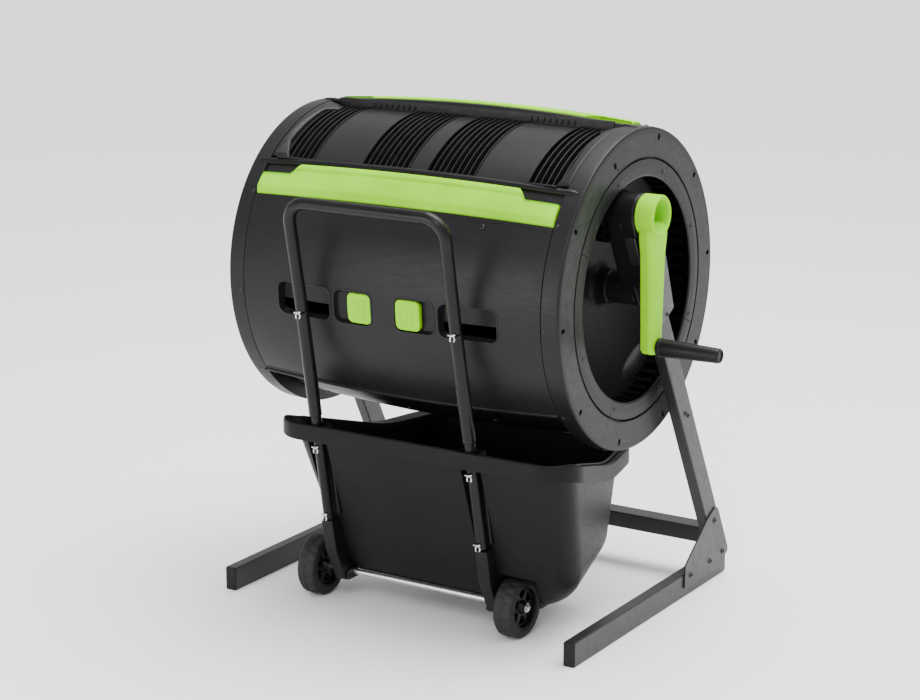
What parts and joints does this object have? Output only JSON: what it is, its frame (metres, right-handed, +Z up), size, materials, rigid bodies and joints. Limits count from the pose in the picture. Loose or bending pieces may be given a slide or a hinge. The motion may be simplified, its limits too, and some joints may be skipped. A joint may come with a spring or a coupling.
{
  "type": "compost tumbler",
  "caption": "Crank-driven compost tumbler: a barrel-shaped drum on an A-frame with sliding doors and a vented panel, over a wheeled collecting cart",
  "frame": {"origin": "on the ground at the middle of the whole object's bounding box", "axes": "+X along the drum's axle towards the crank, +Y towards the rear, -Y towards the cart's handle, +Z up"},
  "size_m": [1.0205, 0.785, 1.0227],
  "materials": {
    "green": "satin moulded polypropylene",
    "charcoal": "fine-textured satin moulded polypropylene",
    "frame_black": "black powder coat",
    "top_plate": "grey powder coat",
    "screws_black": "black oxide",
    "zinc": "bright zinc plate",
    "tyre": "matt black rubber",
    "wheel_black": "satin moulded polypropylene"
  },
  "bodies": {
    "stand": {"foot_tube_left": "frame_black", "foot_tube_right": "frame_black", "leg_tube_left": "frame_black", "leg_tube_right": "frame_black", "gusset_plate_left": "frame_black", "gusset_plate_right": "frame_black", "leg_top_plate_left": "top_plate", "leg_top_plate_right": "top_plate", "axle_stubs": "zinc", "rear_crossbar": "frame_black", "foot_end_caps": "charcoal", "stand_bolts": "screws_black", "crank_housing": "charcoal"},
    "drum": {"end_ring_left": "charcoal", "end_ring_right": "charcoal", "end_dish_left": "charcoal", "end_dish_right": "charcoal", "ring_cover_left": "charcoal", "ring_cover_right": "charcoal", "hub_bushes": "charcoal", "vent_end_frames": "charcoal", "drum_screws": "screws_black", "ring_gear": "charcoal", "lower_panel_front": "charcoal", "lower_panel_rear": "charcoal", "vent_panel": "charcoal", "joiner_rails": "charcoal", "strip_beds": "charcoal", "grab_strip_front": "green", "grab_strip_rear": "green", "chamber_divider": "charcoal", "dish_scoops": "charcoal"},
    "crank": {"crank_arm": "green", "crank_shaft": "zinc", "crank_bolt": "zinc", "grip_pin": "zinc", "pinion_gear": "charcoal"},
    "grip": {"crank_grip": "charcoal"},
    "front_door": {"door_front": "charcoal", "latch_trays_front": "charcoal"},
    "rear_door": {"door_rear": "charcoal", "latch_trays_rear": "charcoal"},
    "front_left_latch": {"latch_front_left": "green"},
    "front_right_latch": {"latch_front_right": "green"},
    "rear_left_latch": {"latch_rear_left": "green"},
    "rear_right_latch": {"latch_rear_right": "green"},
    "cart": {"cart_handle": "frame_black", "lower_tube_left": "frame_black", "lower_tube_right": "frame_black", "bin_tub": "charcoal", "bin_rim": "charcoal", "tube_mounts": "charcoal", "cart_axle": "zinc", "axle_brackets": "charcoal", "axle_caps": "zinc", "retaining_clips": "zinc"},
    "left_wheel": {"tyre_left": "tyre", "wheel_left": "wheel_black"},
    "right_wheel": {"tyre_right": "tyre", "wheel_right": "wheel_black"}
  },
  "joints": [
    {"name": "drum_spin", "type": "hinge", "parent": "stand", "child": "drum", "pos_m": [-0.0833, 0.033, 0.681], "axis": [1, 0, 0], "continuous": true},
    {"name": "crank_spin", "type": "hinge", "parent": "stand", "child": "crank", "pos_m": [0.361, -0.02874, 0.84614], "axis": [1, 0, 0], "continuous": true},
    {"name": "grip_spin", "type": "hinge", "parent": "crank", "child": "grip", "pos_m": [0.44, -0.02874, 0.58814], "axis": [1, 0, 0], "continuous": true},
    {"name": "front_door_slide", "type": "hinge", "parent": "drum", "child": "front_door", "pos_m": [-0.0833, 0.033, 0.681], "axis": [1, 0, 0], "range_deg": [0, 60]},
    {"name": "rear_door_slide", "type": "hinge", "parent": "drum", "child": "rear_door", "pos_m": [-0.0833, 0.033, 0.681], "axis": [-1, 0, 0], "range_deg": [0, 60]},
    {"name": "front_left_latch_slide", "type": "slide", "parent": "front_door", "child": "front_left_latch", "axis": [-1, 0, 0], "range_m": [0, 0.027]},
    {"name": "front_right_latch_slide", "type": "slide", "parent": "front_door", "child": "front_right_latch", "axis": [1, 0, 0], "range_m": [0, 0.027]},
    {"name": "rear_left_latch_slide", "type": "slide", "parent": "rear_door", "child": "rear_left_latch", "axis": [-1, 0, 0], "range_m": [0, 0.027]},
    {"name": "rear_right_latch_slide", "type": "slide", "parent": "rear_door", "child": "rear_right_latch", "axis": [1, 0, 0], "range_m": [0, 0.027]},
    {"name": "cart_roll", "type": "slide", "parent": "stand", "child": "cart", "axis": [0, -1, 0], "range_m": [0, 0.9]},
    {"name": "left_wheel_spin", "type": "hinge", "parent": "cart", "child": "left_wheel", "pos_m": [-0.3203, -0.184, 0.0625], "axis": [1, 0, 0], "continuous": true},
    {"name": "right_wheel_spin", "type": "hinge", "parent": "cart", "child": "right_wheel", "pos_m": [0.1537, -0.184, 0.0625], "axis": [1, 0, 0], "continuous": true}
  ],
  "couplings": [
    {"joint": "crank_spin", "follows": "drum_spin", "ratio": 4.1538},
    {"joint": "left_wheel_spin", "follows": "cart_roll", "rad_per_m": 16},
    {"joint": "right_wheel_spin", "follows": "cart_roll", "rad_per_m": 16}
  ]
}
